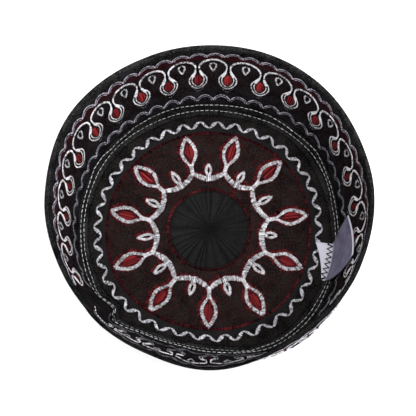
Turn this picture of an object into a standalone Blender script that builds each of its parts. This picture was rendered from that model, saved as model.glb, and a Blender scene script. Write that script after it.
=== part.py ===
"""Kufi: a round, flat-topped cloth cap, lying upside down on its crown with the opening up.

Metres, +Z up. The origin is on the ground under the middle of the crown. An azimuth is in
degrees, clockwise from +Y as seen from above. A level runs up the wall, from 0 at the corner
between crown and band to 1 at the edge of the opening.
"""
import math
from collections import namedtuple

import bpy

# Sizes of the whole cap
CORNER_RADIUS = 0.0842          # inner face of the wall where it leaves the crown
OPENING_RADIUS = 0.0930         # inner face of the wall at the opening
HEIGHT = 0.082
GAP = 0.0003                    # left between pieces that touch

# Cloth
CLOTH = 0.0022                  # wall of the band
CROWN_CLOTH = 0.0020
CROWN_LIFT = 0.0012             # the sewn corner holds the crown this far off the ground
CROWN_TOP = CROWN_LIFT + CROWN_CLOTH

# Rosette of gathered cloth in the middle of the crown
ROSETTE_RADIUS = 0.0257
ROSETTE_ROWS = 4
ROSETTE_DOME = 0.0006           # rise halfway out
ROSETTE_DIMPLE = 0.0004         # depth of its centre
PLEATS = 30
PLEAT_DEPTH = 0.0005
PLEAT_STEP = 180 / PLEATS       # degrees from a ridge to the next groove

# Sewn corner and turned edge
TAPE_TOP = 0.0135
TAPE_LIP = 0.0026               # how far it reaches in over the crown
TAPE_BEND = 0.0010              # width and rise of the slope from its lip to the wall
TAPE_RISE = 0.0006
TAPE_FOOT_ROUND = 0.0016
TAPE_PROUD = 0.0002
HEM_BOTTOM = 0.0765
HEM_PROUD = 0.0003
HEM_ROUND = 0.0009

# Label, sewn into the corner at a slant
LABEL_THICKNESS = 0.0008
LABEL_START = 97.0              # azimuths of its sewn line
LABEL_END = 114.8
LABEL_LEAN = 8.6                # degrees that it leans back at its free edge
LABEL_CURVES = (0.9, 2.8)       # how late each side edge does its leaning
LABEL_HEIGHTS = (0.030, 0.047)  # standing leaf, at the start and end of the sewn line
LABEL_FLAPS = (0.0101, 0.0010)  # flap on the crown, at the start and end
LABEL_FLAP_Z = CROWN_TOP + GAP + LABEL_THICKNESS / 2
LABEL_STEP = 0.0005             # rise from the flap to the foot of the leaf
LABEL_FOLD = 8                  # how quickly the leaf reaches the wall above its foot
LABEL_BELLY = 0.0014            # how far the leaf bows off the wall
LABEL_CLEAR = 0.0012            # from the wall to the middle of the label

# Facets
AROUND = 100
JOIN = 228.0                    # azimuth where the band's two ends are sewn together
JOIN_GATHER = 0.55              # share by which the facets are narrower at the join
JOIN_REACH = 30.0
BAND_ROWS = 6
CROWN_ROWS = 3
LABEL_ACROSS = 6
LABEL_UP = 7

# Bulges and dents of the wall. Each one fades over so many degrees before and after its
# azimuth. Its three moves are radial, in millimetres, at the corner, halfway up and at the opening.
Dent = namedtuple("Dent", "azimuth before after corner middle opening")
DENTS = {
    "far": Dent(8, 34, 34, -1.9, 0.4, 2.5),
    "far_right": Dent(40, 36, 36, 1.6, 2.4, 3.2),
    "right": Dent(78, 36, 36, -0.9, 1.2, 1.3),
    "label_side": Dent(112, 34, 34, 0.6, 2.8, -0.8),
    "near_right": Dent(145, 32, 32, 2.4, 4.0, -2.4),
    "near": Dent(180, 26, 26, -5.0, -1.2, 1.6),
    "near_left": Dent(203, 26, 26, -5.1, -2.0, -0.9),
    "tuck": Dent(225, 14, 4, 2.4, 1.5, 0.0),
    "join_pleat": Dent(229, 4, 12, -3.5, -3.0, -0.3),
    "left": Dent(240, 36, 36, -1.2, 0.6, -1.5),
    "upper_left": Dent(275, 34, 34, -0.7, 0.4, 0.8),
    "far_left": Dent(306, 34, 32, -0.4, 1.7, 3.8),
    "far_again": Dent(336, 28, 28, -1.6, -0.1, 2.2),
}

# Base colour, roughness
FINISHES = {
    "crown": ((0.022, 0.012, 0.011), 0.92),
    "crown_rosette": ((0.016, 0.017, 0.018), 0.90),
    "seam_tape": ((0.012, 0.012, 0.013), 0.92),
    "band": ((0.018, 0.011, 0.011), 0.92),
    "hem": ((0.013, 0.013, 0.014), 0.90),
    "label": ((0.62, 0.60, 0.70), 0.60),
}


def wall_radius(z):
    """Inner face of the wall before it is dented."""
    level = (z - CROWN_TOP) / (HEIGHT - CROWN_TOP)
    return CORNER_RADIUS + (OPENING_RADIUS - CORNER_RADIUS) * level


def fade(offset, before, after):
    """1 at no offset, easing to 0 at the two reaches."""
    reach = after if offset > 0 else before
    if abs(offset) >= reach:
        return 0.0
    return 0.5 + 0.5 * math.cos(math.pi * offset / reach)


def dent(azimuth, level):
    """Radial move of the wall, in metres."""
    level = min(max(level, 0.0), 1.0)
    at_corner = (1 - level) * (1 - 2 * level)
    at_middle = 4 * level * (1 - level)
    at_opening = level * (2 * level - 1)
    total = 0.0
    for item in DENTS.values():
        offset = (azimuth - item.azimuth + 180) % 360 - 180
        move = item.corner * at_corner + item.middle * at_middle + item.opening * at_opening
        total += move * fade(offset, item.before, item.after)
    return total / 1000


def gathered(azimuth):
    """Crowd evenly spaced azimuths together at the join, where the wall turns sharply."""
    offset = (azimuth - JOIN + 180) % 360 - 180
    return azimuth - JOIN_GATHER * offset * math.exp(-(offset / JOIN_REACH) ** 2)


def place(radius, azimuth, z):
    """A point given by its radius, azimuth and height."""
    turn = math.radians(azimuth)
    return (radius * math.sin(turn), radius * math.cos(turn), z)


def dented(co):
    """Move a point of a turned piece to its place on the dented cap."""
    radius = math.hypot(co.x, co.y)
    azimuth = gathered(math.degrees(math.atan2(co.x, co.y)))
    level = (co.z - CROWN_TOP) / (HEIGHT - CROWN_TOP)
    share = min(radius / CORNER_RADIUS, 1.0) ** 3
    return place(radius + share * dent(azimuth, level), azimuth, co.z)


def pleated(co):
    """Raise and lower every second spoke of the rosette, less towards its rim and centre."""
    spoke = round(math.degrees(math.atan2(co.x, co.y)) / PLEAT_STEP)
    across = min(math.hypot(co.x, co.y) / ROSETTE_RADIUS, 1.0)
    depth = PLEAT_DEPTH * math.sin(math.pi * across)
    return (co.x, co.y, co.z + (depth if spoke % 2 else -depth))


def between(pair, share):
    return pair[0] + (pair[1] - pair[0]) * share


def clear_scene():
    for item in list(bpy.data.objects):
        bpy.data.objects.remove(item, do_unlink=True)


def finish(name):
    colour, roughness = FINISHES[name]
    made = bpy.data.materials.new(name)
    made.use_nodes = True
    surface = made.node_tree.nodes["Principled BSDF"]
    surface.inputs["Base Color"].default_value = (*colour, 1)
    surface.inputs["Roughness"].default_value = roughness
    surface.inputs["Metallic"].default_value = 0.0
    made.diffuse_color = (*colour, 1)
    return made


def add_piece(name, mesh, collection, parent):
    mesh.name = name
    mesh.materials.clear()
    mesh.materials.append(finish(name))
    piece = bpy.data.objects.new(name, mesh)
    piece.parent = parent
    collection.objects.link(piece)
    return piece


def turned(profile, closed, steps):
    """Turn a profile of (radius, height) points about Z and return the mesh.

    The profile runs down its outer side and back up its inner side.
    """
    count = len(profile)
    edges = [(i, i + 1) for i in range(count - 1)]
    if closed:
        edges.append((count - 1, 0))
    outline = bpy.data.meshes.new("profile")
    outline.from_pydata([(radius, 0, z) for radius, z in profile], edges, [])
    holder = bpy.data.objects.new("profile", outline)
    bpy.context.scene.collection.objects.link(holder)
    screw = holder.modifiers.new("turn", "SCREW")
    screw.axis = "Z"
    screw.angle = math.tau
    screw.steps = steps
    screw.render_steps = steps
    screw.use_merge_vertices = True
    screw.merge_threshold = 0.00001
    graph = bpy.context.evaluated_depsgraph_get()
    mesh = bpy.data.meshes.new_from_object(holder.evaluated_get(graph))
    bpy.data.objects.remove(holder, do_unlink=True)
    bpy.data.meshes.remove(outline)
    return mesh


def moved(mesh, rule):
    for vertex in mesh.vertices:
        vertex.co = rule(vertex.co)
    mesh.update()
    return mesh


def wall_rows(low, high, rows, inward, outward):
    """Closed profile of a strip of the wall that stands proud by so much on each face."""
    heights = [low + (high - low) * i / rows for i in range(rows + 1)]
    outer = [(wall_radius(z) + CLOTH + outward, z) for z in reversed(heights)]
    inner = [(wall_radius(z) - inward, z) for z in heights]
    return outer + inner


def crown(collection, parent):
    """Ring of cloth between the rosette and the sewn corner."""
    hole = ROSETTE_RADIUS + GAP
    edge = CORNER_RADIUS - TAPE_LIP - GAP
    radii = [hole + (edge - hole) * i / CROWN_ROWS for i in range(CROWN_ROWS + 1)]
    top = [(radius, CROWN_TOP) for radius in radii]
    under = [(radius, CROWN_LIFT) for radius in reversed(radii)]
    mesh = moved(turned(top + under, True, AROUND), dented)
    return add_piece("crown", mesh, collection, parent)


def crown_rosette(collection, parent):
    """Gathered disc: a little dome with pleats that fade at its rim and centre."""
    top = []
    for row in range(ROSETTE_ROWS + 1):
        across = row / ROSETTE_ROWS
        rise = ROSETTE_DOME * math.sin(math.pi * across) - ROSETTE_DIMPLE * (1 - across) ** 3
        top.append((ROSETTE_RADIUS * across, CROWN_TOP + rise))
    under = [(radius, z - CROWN_CLOTH) for radius, z in reversed(top)]
    mesh = moved(turned(top + under, False, PLEATS * 2), pleated)
    return add_piece("crown_rosette", mesh, collection, parent)


def seam_tape(collection, parent):
    """Sewn corner. The cap stands on its flat underside."""
    outward = CLOTH + TAPE_PROUD
    profile = [(wall_radius(TAPE_TOP) + outward, TAPE_TOP),
               (wall_radius(CROWN_TOP) + outward, CROWN_TOP)]
    for angle in (0, 45, 90):
        turn = math.radians(angle)
        inset = TAPE_FOOT_ROUND * (1 - math.cos(turn))
        profile.append((CORNER_RADIUS + outward - inset, TAPE_FOOT_ROUND * (1 - math.sin(turn))))
    profile += [
        (CORNER_RADIUS - TAPE_LIP, 0.0),
        (CORNER_RADIUS - TAPE_LIP, CROWN_TOP),
        (CORNER_RADIUS - TAPE_BEND, CROWN_TOP),
        (CORNER_RADIUS - TAPE_PROUD, CROWN_TOP + TAPE_RISE),
        (wall_radius(TAPE_TOP / 2) - TAPE_PROUD, TAPE_TOP / 2),
        (wall_radius(TAPE_TOP) - TAPE_PROUD, TAPE_TOP),
    ]
    mesh = moved(turned(profile, True, AROUND), dented)
    return add_piece("seam_tape", mesh, collection, parent)


def band(collection, parent):
    """The embroidered wall."""
    profile = wall_rows(TAPE_TOP + GAP, HEM_BOTTOM - GAP, BAND_ROWS, 0.0, 0.0)
    mesh = moved(turned(profile, True, AROUND), dented)
    return add_piece("band", mesh, collection, parent)


def hem(collection, parent):
    """Turned edge, rounded along the opening."""
    shoulder = HEIGHT - HEM_ROUND
    sides = wall_rows(HEM_BOTTOM, shoulder, 1, HEM_PROUD, HEM_PROUD)
    rounded = [(wall_radius(HEIGHT) - HEM_PROUD + HEM_ROUND, HEIGHT),
               (wall_radius(HEIGHT) + CLOTH + HEM_PROUD - HEM_ROUND, HEIGHT)]
    mesh = moved(turned(sides + rounded, True, AROUND), dented)
    return add_piece("hem", mesh, collection, parent)


def label_point(across, up):
    """Middle of the label. Up is below 0 on the flap, and 0 to 1 on the standing leaf."""
    azimuth = between((LABEL_START, LABEL_END), across)
    if up < 0:
        foot = CORNER_RADIUS + dent(azimuth, 0) - TAPE_BEND - LABEL_CLEAR
        return place(foot + between(LABEL_FLAPS, across) * up, azimuth, LABEL_FLAP_Z)
    azimuth -= LABEL_LEAN * up ** between(LABEL_CURVES, across)
    z = LABEL_FLAP_Z + LABEL_STEP + between(LABEL_HEIGHTS, across) * up
    level = (z - CROWN_TOP) / (HEIGHT - CROWN_TOP)
    wall = wall_radius(z) + dent(azimuth, level) - TAPE_PROUD
    off_wall = LABEL_CLEAR + TAPE_BEND * (1 - up) ** LABEL_FOLD + LABEL_BELLY * math.sin(math.pi * up)
    return place(wall - off_wall, azimuth, z)


def label(collection, parent):
    """Blank woven label: a short flap on the crown and a leaf standing against the wall."""
    rows = [-1.0, -0.5, 0.0] + [(i + 1) / LABEL_UP for i in range(LABEL_UP)]
    points = [label_point(i / LABEL_ACROSS, up) for up in rows for i in range(LABEL_ACROSS + 1)]
    wide = LABEL_ACROSS + 1
    faces = []
    for row in range(len(rows) - 1):
        for i in range(LABEL_ACROSS):
            start = row * wide + i
            faces.append((start, start + 1, start + wide + 1, start + wide))
    mesh = bpy.data.meshes.new("label")
    mesh.from_pydata(points, [], faces)
    mesh.update()
    piece = add_piece("label", mesh, collection, parent)
    shell = piece.modifiers.new("thickness", "SOLIDIFY")
    shell.thickness = LABEL_THICKNESS
    shell.offset = 0.0
    shell.use_even_offset = True
    return piece


def main():
    clear_scene()
    collection = bpy.data.collections.new("kufi")
    bpy.context.scene.collection.children.link(collection)
    base = bpy.data.objects.new("kufi_base", None)
    collection.objects.link(base)
    for make in (crown, crown_rosette, seam_tape, band, hem, label):
        piece = make(collection, base)
        piece.data.shade_smooth()
        piece.data.set_sharp_from_angle(angle=math.radians(40))


main()
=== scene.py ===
"""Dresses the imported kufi: woven cloth, laid embroidery threads, topstitching, label, light, camera.

Metres, +Z up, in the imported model's frame. An azimuth is in degrees, clockwise from +Y as seen
from above. Motifs are drawn in millimetres on the flat pattern and then laid on the cloth.
"""
from collections import namedtuple

import bpy
import numpy as np
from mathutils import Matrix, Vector


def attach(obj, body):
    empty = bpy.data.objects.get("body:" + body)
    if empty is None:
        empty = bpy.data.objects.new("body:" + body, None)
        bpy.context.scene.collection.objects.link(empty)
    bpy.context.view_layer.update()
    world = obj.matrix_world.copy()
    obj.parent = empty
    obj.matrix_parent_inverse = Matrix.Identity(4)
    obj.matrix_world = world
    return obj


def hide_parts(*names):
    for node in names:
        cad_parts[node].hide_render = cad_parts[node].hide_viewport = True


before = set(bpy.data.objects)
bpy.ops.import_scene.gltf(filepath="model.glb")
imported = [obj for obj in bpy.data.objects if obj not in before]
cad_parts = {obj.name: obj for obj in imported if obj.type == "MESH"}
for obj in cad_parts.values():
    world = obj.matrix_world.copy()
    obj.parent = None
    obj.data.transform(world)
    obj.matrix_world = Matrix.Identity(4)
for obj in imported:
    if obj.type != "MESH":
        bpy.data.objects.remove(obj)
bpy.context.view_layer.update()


def table(keys, *rows):
    """Rows of numbers, each number with its name."""
    kind = namedtuple("Row", keys)
    return [kind(*row) for row in rows]


def column(rows, key):
    return [getattr(row, key) for row in rows]


def lookup(rows, key, azimuth, period=None):
    """A value of a table at any azimuth."""
    return np.interp(azimuth, column(rows, "azimuth"), column(rows, key), period=period)


MM = 0.001

# Sizes of the cap, as in the part
CORNER_RADIUS = 0.0842
OPENING_RADIUS = 0.0930
HEIGHT = 0.082
GAP = 0.0003
CLOTH = 0.0022
CROWN_CLOTH = 0.0020
CROWN_LIFT = 0.0012
CROWN_TOP = CROWN_LIFT + CROWN_CLOTH
CROWN_GAP = 0.00005
ROSETTE_RADIUS = 0.0257
TAPE_TOP = 0.0135
TAPE_LIP = 0.0026
TAPE_BEND = 0.0010
TAPE_FOOT_ROUND = 0.0016
TAPE_PROUD = 0.0002
HEM_BOTTOM = 0.0765
HEM_PROUD = 0.0003
HEM_ROUND = 0.0013
LABEL_THICKNESS = 0.0006
LABEL_AZIMUTHS = (97.0, 114.8)
LABEL_LEAN = 8.6
LABEL_CURVES = (0.9, 2.8)
LABEL_HEIGHTS = (0.030, 0.047)
LABEL_FLAPS = (0.0114, 0.0021)  # the ribbon's own flap, a little longer than the plain solid's
LABEL_FLAP_Z = CROWN_TOP + GAP + 0.0004
LABEL_STEP = 0.0005
LABEL_FOLD = 8
LABEL_BELLY = 0.0014
LABEL_CLEAR = 0.0012
DENTS = table(
    "azimuth before after corner middle opening", (8, 34, 34, -1.9, 0.4, 2.5), (40, 36, 36, 1.6, 2.4, 3.2),
    (78, 36, 36, -0.9, 1.2, 1.3), (112, 34, 34, 0.6, 2.8, -0.8), (145, 32, 32, 2.4, 4, -2.4),
    (180, 26, 26, -5, -1.2, 1.6), (203, 26, 26, -5.1, -2, -0.9), (225, 14, 4, 2.4, 1.5, 0),
    (229, 4, 12, -3.5, -3, -0.3), (240, 36, 36, -1.2, 0.6, -1.5), (275, 34, 34, -0.7, 0.4, 0.8),
    (306, 34, 32, -0.4, 1.7, 3.8), (336, 28, 28, -1.6, -0.1, 2.2))

# Steps round the cap, and the flat pattern's metres of cloth to a degree
WALL_STEPS = 480
CROWN_STEPS = 360
DEGREE = 0.00153

# How far the crown's small waves reach from the rosette, and the rosette's folds and dimple
CROWN_WAVES = 0.055
ROSETTE_FOLDS = 30
ROSETTE_RISE = 0.0006
DIMPLE_DEPTH, DIMPLE_REACH = 0.0009, 0.16       # metres, and a share of the radius

# Small waves of the cloth: how many round the cap, height in millimetres, where they start
CLOTH_WAVES = table(
    "count height start", (13, 0.16, 0.4), (29, 0.11, 2.1), (54, 0.07, 4.4), (87, 0.05, 1.2))

# Low relief of the wall: millimetres outward at three heights, and none at its corner and opening
RELIEF_HEIGHTS = (0.0225, 0.0340, 0.0695)
RELIEF = table(
    "azimuth low middle high", (-125, 0, 0, 0), (-110, 0.3, 0, -0.3), (-97, 0.5, -0.3, -1.2),
    (-89, 0.6, -0.4, -1.5), (-82, 0.8, 0, -1.3), (-72, 0.6, 0.2, -0.5), (-60, 0.5, 0, -0.7),
    (-46, -0.1, -0.2, -0.9), (-32, -0.3, -0.1, -0.2), (-18, -0.6, -0.1, 0.3), (-4, -0.3, 0.5, 1.05),
    (6, -0.1, 0.4, 1.15), (22, 0.2, 0, 0.3), (38, 0.7, 0.6, -0.1), (48, 1.4, 1.3, -0.2),
    (60, 2.1, 1.4, -0.6), (66, 1.6, 1, -0.7), (78, 0.1, 0.2, -0.8), (86, -0.6, -0.3, -0.1), (95, 0, 0, 0.6),
    (104, 0, 0, 0.2), (112, 0, 0, -0.4), (125, 1.2, 1.2, 0), (150, 0.5, 0.8, 0), (165, 0, 0, 0.3),
    (180, 0.5, -0.1, 1), (187, 0.2, -0.3, 0.9), (193, -0.8, -0.8, -0.3), (200, -0.2, -0.5, -0.5),
    (206, 0.3, 0, 0.3), (218, 0, 0, 0.3), (230, 0, 0, 0))

# The near wall hangs slack, with creases in millimetres and a worn, thinner edge
CREASE_HEIGHT = 0.22
CREASE_LENGTH = 11.0
WORN = 0.0012
WORN_HEIGHTS = (0.068, 0.079)
SLACK_AZIMUTHS = (146, 166, 216, 232)

# Band embroidery: where its bulbs stand. An arch joins each bulb to the next.
BULBS = (
    244.6, 257.6, 269.8, 282.5, 294.5, 307.2, 318.5, 330.9, 343, 355.4, 367.6, 381.1, 394.3, 407.2, 420.2,
    433.7, 446.1, 458.6, 471, 484, 498, 512, 526.5, 540.3, 553.4, 566.6, 578.5)
BULB_STEP = 13.0
BAND_START, BAND_END = 239.0, 589.0     # the embroidery begins and ends beside the sewn join
SLACK_START = 500.0                     # past here the threads lie thin in the slack near wall

# How bright each kind of thread is round the inner side, and along the outer side. Round the inner side
# this is painted light and shade: the threads are dimmed towards the near wall, most of all on it.
# The fringe is the dark red under the silver.
TONE_KEYS = "azimuth silver red inner outer fringe"
INSIDE_LIGHT_AND_SHADE = table(
    TONE_KEYS, (239, 1.05, 0.3, 0.5, 0.95, 1.4), (270, 1.05, 0.45, 0.6, 1.05, 1.4),
    (290, 1.08, 0.75, 1, 1.25, 1), (308, 1.1, 0.95, 1.2, 1.35, 0), (385, 1.1, 1, 1.3, 1.4, 0),
    (412, 1.05, 0.75, 0.95, 1.1, 0), (435, 1.05, 0.5, 0.7, 0.9, 0.8), (490, 1, 0.35, 0.6, 0.85, 0.8),
    (502, 0.8, 0.12, 0.4, 0.3, 0), (514, 0.55, 0.05, 0.36, 0.3, 0), (530, 0.6, 0.05, 0.36, 0.36, 0),
    (545, 1.1, 0.06, 0.36, 0.36, 0), (590, 1.1, 0.08, 0.36, 0.36, 0))
OUTSIDE_TONES = table(TONE_KEYS, (239, 1, 0.95, 1.05, 1.4, 0), (590, 1, 0.95, 1.05, 1.4, 0))
FRINGE_LEAST = 0.1

# How bright the small hearts between the bulbs are along the inner side: painted light and shade, brightest
# on the far wall
HEART_LIGHT_AND_SHADE = table(
    "azimuth bright", (239, 0.6), (330, 0.75), (345, 0.95), (372, 1), (390, 0.85), (410, 0.72), (490, 0.6),
    (590, 0.5))
PLAIN_GLOW = 1.15

# A bulb's threads where the cloth is taut and where it is slack: how bright its middle is and how fast
# that changes, their width and height, the share of dark ones and how many lie together, the arch's middle.
# The bulb's middle, at its bottom, and the arch's middle are dimmed as painted shade, most where slack.
TAUT, SLACK = table(
    "low power wide tall dark run arch", (0.75, 1, 1, 0.36, 0.14, 2, 1.15),
    (0.1, 1.5, 0.75, 0.62, 0.34, 4, 0.7))

# Outlines on the band, millimetres from a bulb's middle line and from the ground, right half only
BULB = (
    (0, 33.5), (1.8, 34.5), (3.6, 37), (5, 40), (5.6, 43.2), (5.3, 46.4), (4.3, 49), (2.8, 51.8), (1.4, 55),
    (1.1, 58.2))
BULB_LOOP = (
    (0, 35.6), (1.4, 36.8), (2.8, 39.4), (3.6, 42), (3.8, 44.6), (3.4, 47.2), (2.4, 49.8), (1.3, 52.2))
SHOULDER = ((3.5, 48.4), (2.6, 50.4), (1.8, 52.4), (1.3, 54.6))
BULB_FILL = (36.0, 50.5, 2.6)   # lower end, upper end, half-width
SLIT = ((0, 51), (0, 61))
# From the neck up to the arch's top, as shares of half the distance to the next bulb
ARCH = ((0.11, 58), (0.14, 60.2), (0.21, 62.2), (0.36, 64.3), (0.57, 66), (0.78, 66.8), (1, 67.1))
HEART = ((0, 54), (0.8, 56), (1.6, 58.4), (1.9, 60.6), (1.3, 62.6), (0.3, 63.1))
HEART_TAIL = ((1.2, 63.2), (2, 65.4))
DASHES = ((4.6, 37.5), (2.6, 33.2), (0, 29.3))

INNER_SCALLOPS, OUTER_SCALLOPS = table(
    "count start end cusp crest second", (46, 241.6, 587.1, 19, 26, 1.9), (52, 238.6, 587, 70, 75, 1.7))

# Crown embroidery. A leaf's middle line runs from its neck to its tip, and a bud stands before each.
LEAVES = table(
    "neck tip", (14.7, 15.8), (45.8, 45.7), (80.5, 81.5), (113, 113.1), (146.9, 148.3), (180.1, 180.5),
    (214.1, 215.7), (247.6, 247.5), (279.3, 281), (310.5, 310.8), (344.1, 346))
BUDS = table(
    "azimuth tip", (-0.7, 45.7), (30.7, 46.4), (61.8, 47.7), (95.5, 45.6), (129.2, 47.2), (163.2, 46.4),
    (196.2, 46.6), (230.8, 47.2), (263, 48.2), (295.6, 47.2), (327.5, 47.5))
NECK_RADIUS = 42.0
TIP_RADIUS = 66.0
LEAF = (
    (0, 65.6), (1.6, 63.3), (3.3, 60.2), (4.4, 57.2), (4.7, 54.6), (4.2, 51.8), (2.9, 49.2), (1.4, 46.9),
    (0.7, 44.8))
LEAF_FILL = (48.9, 61.9, 2.8)   # inner end, outer end, half-width
NECK = ((0, 46.6), (0, 43.2), (0, 39))
BUD_TIP = 46.8
BUD_FOOT = 38.0
BUD = ((0, 46), (0.75, 44.3), (1.4, 42.6), (1.65, 41), (1.4, 39.4), (0.7, 37.8))
BUD_SLIT = ((0, 39), (0, 44))
BUD_STEM = ((0, 33), (0, 38.4))
STEM_SLITS = (-1.9, -0.9, 0.9, 1.9)
ARC_DIP = 34.9
ARC_RISE = 5.2
HALO_SHIFT = (-0.8, 0.6)

# How bright the red is round the crown: in the leaves, and in its outer and inner rings
LEAF_GLOW = table(
    "azimuth bright", (0, 0.66), (45, 0.62), (135, 0.58), (225, 0.5), (315, 0.74), (360, 0.66))
RING_RADII = (67.0, 27.4)
RINGS = table(
    "azimuth outer inner", (0, 0.5, 0.6), (22, 0.5, 0.5), (67, 0.85, 0.5), (112, 1.4, 0.42),
    (157, 1.2, 0.42), (202, 0.4, 0.2), (247, 0.55, 0.65), (292, 0.5, 1.3), (337, 0.5, 1), (360, 0.5, 0.6))
RING_WIDTHS = table(
    "azimuth outer inner", (0, 2.1, 1.6), (50, 2.1, 1.6), (70, 1.5, 1.6), (150, 1.5, 1.6), (175, 2.1, 1.6),
    (360, 2.1, 1.6))
RED_PATCHES = table("azimuth inner outer width", (32.5, 27.2, 31.6, 3.4), (37, 38.6, 41.4, 2.4))
RED_DASHES = (33, (50.0, 66.0))  # azimuth, and from one radius to another

# The wavy border, how far its crests have slipped round in degrees, and where its crests are lower
WAVE_CRESTS = 38
WAVE_FIRST = 4.5
WAVE_STEP = 9.45
WAVE_RADIUS = 73.0
WAVE_HEIGHT = 2.2
LOW_WAVES = (0.6, 192, 14)      # how much lower, at which azimuth, how far it reaches
SLIPS = table(
    "azimuth shift", (0, 0), (140, 0), (147, 1.2), (196, 2.5), (210, 3.5), (230, 3.2), (255, 2.8), (280, 2),
    (318, 1.6), (350, 1), (364, 0.9))

# How far the crown's cloth is pulled outward near its edge, in millimetres
PULL_RADIUS = 73.0
PULLS = table(
    "azimuth shift", (5, -0.3), (24, 0.6), (48, 1.6), (64, 1), (88, -0.4), (108, -0.5), (138, 1.6),
    (160, 0.2), (192, -2.3), (216, 0), (242, 2), (268, 1), (290, 1), (318, 0), (340, -0.4))

# Topstitching: how far its two rows are up the tape, in millimetres from the inner corner
SEAM_WANDER = table(
    "azimuth lower upper", (0, 1.8, 9.4), (13, 1.8, 10.3), (26, 0.3, 9.5), (40, 0.3, 6.4), (46, 2, 7.6),
    (54, 4.4, 10.3), (66, 5, 7.8), (73, 3.8, 7.8), (77, 1.6, 7.6), (90, -0.1, 6), (115, -0.2, 5.2),
    (128, -0.2, 7.6), (149, -1, 7), (156, -1.4, 6), (163, -0.2, 6), (170, 0.8, 11.5), (184, -0.3, 9),
    (198, -0.5, 5), (209, -0.3, 6), (224, -1.3, 8), (227, 7, 10.8), (230, 5.8, 11), (236, 9.5, 12),
    (240, 6, 11.6), (247, 2, 11), (266, -0.4, 6.4), (290, 0.8, 7.2), (297, 1.8, 10.1), (304, 1.8, 9.4),
    (309, 1.8, 6.7), (319, 1.8, 7.4), (323, 1.8, 9.6), (342, 1.8, 11.3), (352, 1.8, 9.8))
OUTER_ROWS = {"lower": 4.0, "upper": 10.4}      # on the outer side, millimetres from the ground

# How bright the two rows of stitches are round the corner. Along the near wall some lie in a fold: there
# the lower row is dimmed as painted shade, and the upper one is brighter. Both are dimmer from 311 to 338
# degrees.
SEAM_TONES = table(
    "azimuth lower upper", (0, 1, 1), (158, 1, 1), (168, 0.5, 1.3), (200, 0.42, 1.5), (222, 0.36, 1.6),
    (228, 1, 0.6), (240, 1, 1), (290, 1.1, 1.25), (297, 1.35, 1.75), (306, 1.35, 1.75), (311, 0.8, 0.8),
    (338, 0.8, 0.8), (346, 1, 1))

# Threads, in millimetres
PITCH = 0.48
THREAD = 0.54
THREAD_HEIGHT = 0.30
COARSE = 1.45                   # how much wider the threads are on the faces that the photo doesn't show
FRINGE = 1.5                    # and in the dark red rows that lie under the silver
PADDING, WIDEST_PADDED = 0.10, 3.0      # a satin row rises by this share of its width, up to this width
WIDE_SATIN = 1.3                # a satin row at least this wide is laid in two halves
LAP = 0.15                      # and the halves lap by twice this
SLANT = 0.18                    # how far threads lean from straight across their row
TUCK = 0.00005                  # how deep, in metres, a thread's two ends are tucked in the cloth
BRIGHTEST = 1.6                 # the brightest shade of a thread

# Ways to lay a row: its height, the dark threads' share, how uneven its ends and its tone are
WORN_ROW = {"ragged": 0.28, "spread": 0.22}
ARCH_ROW = {"height": 0.5, "flecks": 0.22, "run": 2, "spread": 0.22, "ragged": 0.2}
FRINGE_ROW = {"height": 0.12, "flecks": 0.35, "ragged": 0.35, "spread": 0.3}
HALO_ROW = {"height": 0.12, "flecks": 0.3, "ragged": 0.25, "spread": 0.3}
PATCH_ROW = {"height": 0.2, "flecks": 0.40, "ragged": 0.5, "spread": 0.35}
RING_ROWS = ({"height": 0.2, "flecks": 0.40, "ragged": 0.45, "spread": 0.35},
             {"height": 0.15, "flecks": 0.45, "ragged": 0.5, "spread": 0.35})


# The shape of the cloth

def eased(at, known, values):
    """A smooth line through known values, level at each of them."""
    known, values = np.asarray(known, float), np.asarray(values, float)
    step = np.clip(np.searchsorted(known, at, side="right") - 1, 0, len(known) - 2)
    share = np.clip((at - known[step]) / (known[step + 1] - known[step]), 0, 1)
    share = share * share * (3 - 2 * share)
    return values[step] + (values[step + 1] - values[step]) * share


def level_of(z):
    """0 at the wall's corner and 1 at its opening."""
    return (z - CROWN_TOP) / (HEIGHT - CROWN_TOP)


def relief(azimuth, z):
    """Radial move of the wall's low relief, in metres."""
    first = RELIEF[0].azimuth
    known = [row.azimuth - first for row in RELIEF] + [360]
    heights = (CROWN_TOP, *RELIEF_HEIGHTS, HEIGHT)
    total = 0.0
    for number, key in enumerate(("low", "middle", "high")):
        values = column(RELIEF, key)
        share = eased(z, heights, np.eye(len(heights))[number + 1])
        total = total + eased(np.mod(azimuth - first, 360), known, values + values[:1]) * share
    return total * MM


def dent(azimuth, z):
    """Radial move of the wall, in metres."""
    level = np.clip(level_of(z), 0, 1)
    at_corner = (1 - level) * (1 - 2 * level)
    at_middle = 4 * level * (1 - level)
    at_opening = level * (2 * level - 1)
    total = 0.0
    for item in DENTS:
        offset = (azimuth - item.azimuth + 180) % 360 - 180
        reach = np.where(offset > 0, item.after, item.before)
        fade = np.where(np.abs(offset) < reach, 0.5 + 0.5 * np.cos(np.pi * offset / reach), 0.0)
        move = item.corner * at_corner + item.middle * at_middle + item.opening * at_opening
        total = total + fade * move
    return total * MM


def slackness(azimuth):
    """1 on the near wall, 0 elsewhere, and eased in between."""
    return eased(np.mod(azimuth, 360), (0, *SLACK_AZIMUTHS, 360), (0, 0, 1, 1, 0, 0))


def worn(azimuth, z):
    """How far the inner face lies back along the worn near edge, in metres."""
    return WORN * slackness(azimuth) * eased(z, (0, *WORN_HEIGHTS, 1), (0, 0, 1, 1))


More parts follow.
